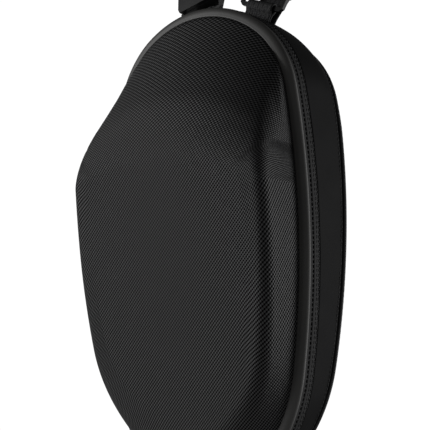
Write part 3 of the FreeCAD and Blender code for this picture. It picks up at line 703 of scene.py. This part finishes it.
# cloth hinge across the foot of the rim
HF = math.radians(22)
hv, hf = [], []
cols_h, rows_h = 61, 17
for a in np.linspace(math.pi - HF, math.pi + HF, cols_h):
    for b, y in enumerate(np.linspace(-2.9, 6.0, rows_h)):
        r_ = RR[4] - 0.62 + 0.25 * math.exp(-((y) / 0.7) ** 2)
        hv.append((r_ * math.sin(a), y, CZ[4] + r_ * math.cos(a)))
for a in range(cols_h - 1):
    for b in range(rows_h - 1):
        q = a * rows_h + b
        hf.append((q, q + 1, q + rows_h + 1, q + rows_h))
hinge = make_mesh("hinge cloth", out(np.array(hv)), hf, np.array(hv)[:, :2] / 1000)
sol = hinge.modifiers.new("cloth", "SOLIDIFY")
sol.thickness, sol.offset = 0.0008, 0.0
hinge.data.materials.append(M["tape"])
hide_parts("hinge_fabric_front", "hinge_fabric_rear")
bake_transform(hinge)

# ------------------------------------------------------------------ straps
B0 = {}
LEAN = {}
for side in (-1, 1):
    q1 = Quaternion((0, 1, 0), math.radians(15.0 * side))
    q2 = Quaternion((1, 0, 0), math.radians(-16.0))
    LEAN[side] = np.array((q1 @ q2).to_matrix())
    B0[side] = np.array([25.0 * side, 20.0, 196.6])


def local(side, p):
    p = np.atleast_2d(np.asarray(p, float)) - np.array([0, 0, 196.0])
    return B0[side] + p @ LEAN[side].T


def smooth_path(pts, step):
    pts = np.asarray(pts, float)
    d = np.concatenate([[0], np.cumsum(np.linalg.norm(np.diff(pts, axis=0), axis=1))])
    m = max(3, int(d[-1] / step))
    s_ = np.linspace(0, d[-1], m)
    P = np.stack([np.interp(s_, d, pts[:, k]) for k in range(3)], -1)
    return P


def strip(name, path, wide, norm, width=25.0, thick=1.6, ribs=12, cap=True):
    # webbing swept along a path; rounded selvedges and shallow ribs
    N = len(path)
    us = np.linspace(-1, 1, 49)
    half = width / 2
    rib = 0.07 * np.abs(np.sin(us * half * math.pi / (width / ribs)))
    edge = np.clip((1 - np.abs(us)) * half / 0.9, 0, 1)
    th = thick / 2 * np.sqrt(np.clip(1 - (1 - edge) ** 2, 0.05, 1)) - 0.07 + rib
    prof = [(u * half, t) for u, t in zip(us, th)] + [(u * half, -t) for u, t in zip(us[::-1], th[::-1])]
    verts = []
    for u, t in prof:
        verts.append(path + wide * u + norm * t)
    verts = np.array(verts)
    m = len(prof)
    faces = []
    for a in range(m):
        b = (a + 1) % m
        for j in range(N - 1):
            faces.append((a * N + j, a * N + j + 1, b * N + j + 1, b * N + j))
    if cap:
        faces.append(tuple(a * N for a in range(m)))
        faces.append(tuple(a * N + N - 1 for a in range(m))[::-1])
    d = np.concatenate([[0], np.cumsum(np.linalg.norm(np.diff(path, axis=0), axis=1))])
    uu = np.array([p[0] for p in prof])
    uv = np.stack(np.broadcast_arrays(uu[:, None], d[None, :]), -1).reshape(-1, 2) / 1000
    return fix_normals(make_mesh(name, out(verts.reshape(-1, 3)), faces, uv))


def normals_along(path, wide):
    t = np.gradient(path, axis=0)
    nn = np.cross(wide, t)
    return nn / np.linalg.norm(nn, axis=1)[:, None]


def fold_path(side, rows):
    # rows: (y, z) of the folded webbing's middle line in the strap's own layout, rounded
    pts = np.array([[0, y, z] for y, z in rows], float)
    P = smooth_path(pts, 0.35)
    for _ in range(10):
        P[1:-1] = (P[:-2] + 2 * P[1:-1] + P[2:]) / 4
    return local(side, P)


for side, tag in ((-1, "left"), (1, "right")):
    Rm = LEAN[side]
    rx, ry, rz = Rm[:, 0], Rm[:, 1], Rm[:, 2]
    # tab sewn through the top of the case, folded round the socket's bar
    P = fold_path(side, [(-0.85, 190), (-0.85, 199.8), (-1.4, 200.9), (-2.4, 202.0), (-2.5, 203.4), (-2.5, 205.6), (-1.9, 207.0), (-0.8, 207.5), (0.8, 207.5), (1.9, 207.0),
                         (2.5, 205.6), (2.5, 203.4), (2.4, 202.0), (1.4, 200.9), (0.85, 199.8), (0.85, 190)])
    wide = np.tile(rx, (len(P), 1))
    tab = strip("strap tab " + tag, P, wide, normals_along(P, wide), 22.7)
    finish_piece(tab, "web", "case_rear", ("strap_tab_" + tag,))
    # eye folded round the plug's bar
    P = fold_path(side, [(-0.85, 266), (-0.85, 260.8), (-1.6, 259.6), (-3.2, 258.4), (-3.3, 257), (-3.3, 254.4), (-2.6, 252.8), (-1.0, 252.25), (1.0, 252.25), (2.6, 252.8),
                         (3.3, 254.4), (3.3, 257), (3.2, 258.4), (1.6, 259.6), (0.85, 260.8), (0.85, 268)])
    wide = np.tile(rx, (len(P), 1))
    eye = strip("strap eye " + tag, P, wide, normals_along(P, wide), 24.6)
    finish_piece(eye, "web", "plug_" + tag, ("strap_eye_" + tag,))
    # stitches: rows across both sewn places
    cen, alo, ow = [], [], []
    for zz in (197.0, 198.3, 199.6):
        for u in np.arange(-9.8, 9.9, 1.4):
            cen.append(local(side, [u, -1.68, zz])[0]); alo.append(rx); ow.append(-ry)
    st = stitches("tab stitches " + tag, cen, alo, ow, 1.15, 0.17)
    finish_piece(st, "thread", "case_rear", ())
    cen, alo, ow = [], [], []
    for zz in (261.8, 263.4, 265.0):
        for u in np.arange(-11.2, 11.3, 1.4):
            cen.append(local(side, [u, -1.68, zz])[0]); alo.append(rx); ow.append(-ry)
    st = stitches("eye stitches " + tag, cen, alo, ow, 1.15, 0.17)
    finish_piece(st, "thread", "plug_" + tag, ())

    # free run to the bar, then over it and down to the back panel
    top = local(side, [0, 0.85, 264.0])[0]
    lx = 50.0 * side
    fa, ra = math.radians(17.561), math.radians(31.659)
    C = np.array([lx, 68.4, 298.0])
    rc = 16.8
    cf = C - rc * np.array([0, math.cos(fa), -math.sin(fa)])
    mid1 = local(side, [0, 0.85, 272.0])[0]
    mid2 = cf - 9.0 * np.array([0, math.sin(fa), math.cos(fa)])
    tb = np.linspace(0, 1, 60)[:, None]
    run = (1 - tb) ** 3 * top + 3 * (1 - tb) ** 2 * tb * mid1 + 3 * (1 - tb) * tb ** 2 * mid2 + tb ** 3 * cf
    w_ = (1 - tb) * rx + tb * np.array([1.0, 0, 0])
    w_ /= np.linalg.norm(w_, axis=1)[:, None]
    tg = np.gradient(run, axis=0)
    tg /= np.linalg.norm(tg, axis=1)[:, None]
    w_ = w_ - tg * np.sum(w_ * tg, 1)[:, None]
    w_ /= np.linalg.norm(w_, axis=1)[:, None]
    piece = strip("strap run " + tag, run, w_, np.cross(w_, tg), 24.6)
    piece.data.materials.append(M["web"])
    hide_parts("strap_run_" + tag)
    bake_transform(piece)

    a = np.linspace(fa, math.pi + ra, 70)
    arc = np.stack([np.full_like(a, lx), C[1] - rc * np.cos(a), C[2] + rc * np.sin(a)], -1)
    foot = local(side, [0, 5.25, 197.0])[0]
    low = local(side, [0, 5.25, 190.0])[0]
    cr_ = arc[-1]
    h = np.linalg.norm(foot - cr_)
    d0 = np.array([0, -math.sin(ra), -math.cos(ra)])
    d1 = (low - foot) / np.linalg.norm(low - foot)
    tb = np.linspace(0, 1, 100)[1:, None]
    dwn = (1 - tb) ** 3 * cr_ + 3 * (1 - tb) ** 2 * tb * (cr_ + d0 * h * 0.25) + 3 * (1 - tb) * tb ** 2 * (foot - d1 * h * 0.07) + tb ** 3 * foot
    pat = foot + (low - foot) * np.linspace(0, 1, 8)[1:, None]
    path = np.concatenate([arc, dwn, pat], 0)
    tg = np.gradient(path, axis=0)
    tg /= np.linalg.norm(tg, axis=1)[:, None]
    k_ = np.concatenate([np.zeros(len(arc)), np.linspace(0, 1, len(dwn)), np.ones(len(pat))])[:, None]
    w_ = (1 - k_) * np.array([1.0, 0, 0]) + k_ * rx
    w_ = w_ - tg * np.sum(w_ * tg, 1)[:, None]
    w_ /= np.linalg.norm(w_, axis=1)[:, None]
    loop = strip("strap loop " + tag, path, w_, np.cross(w_, tg), 24.6)
    finish_piece(loop, "web", "case_rear", ("strap_loop_" + tag,))
    cen, alo, ow = [], [], []
    for zz in (197.6, 199.2, 200.8):
        for u in np.arange(-11.2, 11.3, 1.4):
            cen.append(local(side, [u, 6.12, zz])[0]); alo.append(rx); ow.append(ry)
    st = stitches("loop foot stitches " + tag, cen, alo, ow, 1.15, 0.17)
    finish_piece(st, "thread", "case_rear", ())

# ------------------------------------------------------------------ hard pieces keep their designed shape, with softened edges
for node, key, w in [("zip_slider", "metal", 0.00018), ("zip_pull", "metal", 0.00018), ("zip_end_stops", "metal", 0.00012)] + \
        [(p + t, "plastic", 0.0004) for t in ("left", "right") for p in ("buckle_socket_", "buckle_plug_")] + \
        [("buckle_prong_%s_%s" % (t, k), "plastic", 0.0003) for t in ("left", "right") for k in ("inner", "outer")]:
    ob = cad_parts[node]
    ob.data.materials.clear()
    ob.data.materials.append(M[key])
    bv = ob.modifiers.new("soft edges", "BEVEL")
    bv.width, bv.segments, bv.limit_method, bv.angle_limit = w, 3, "ANGLE", math.radians(28)
    bv.harden_normals = False
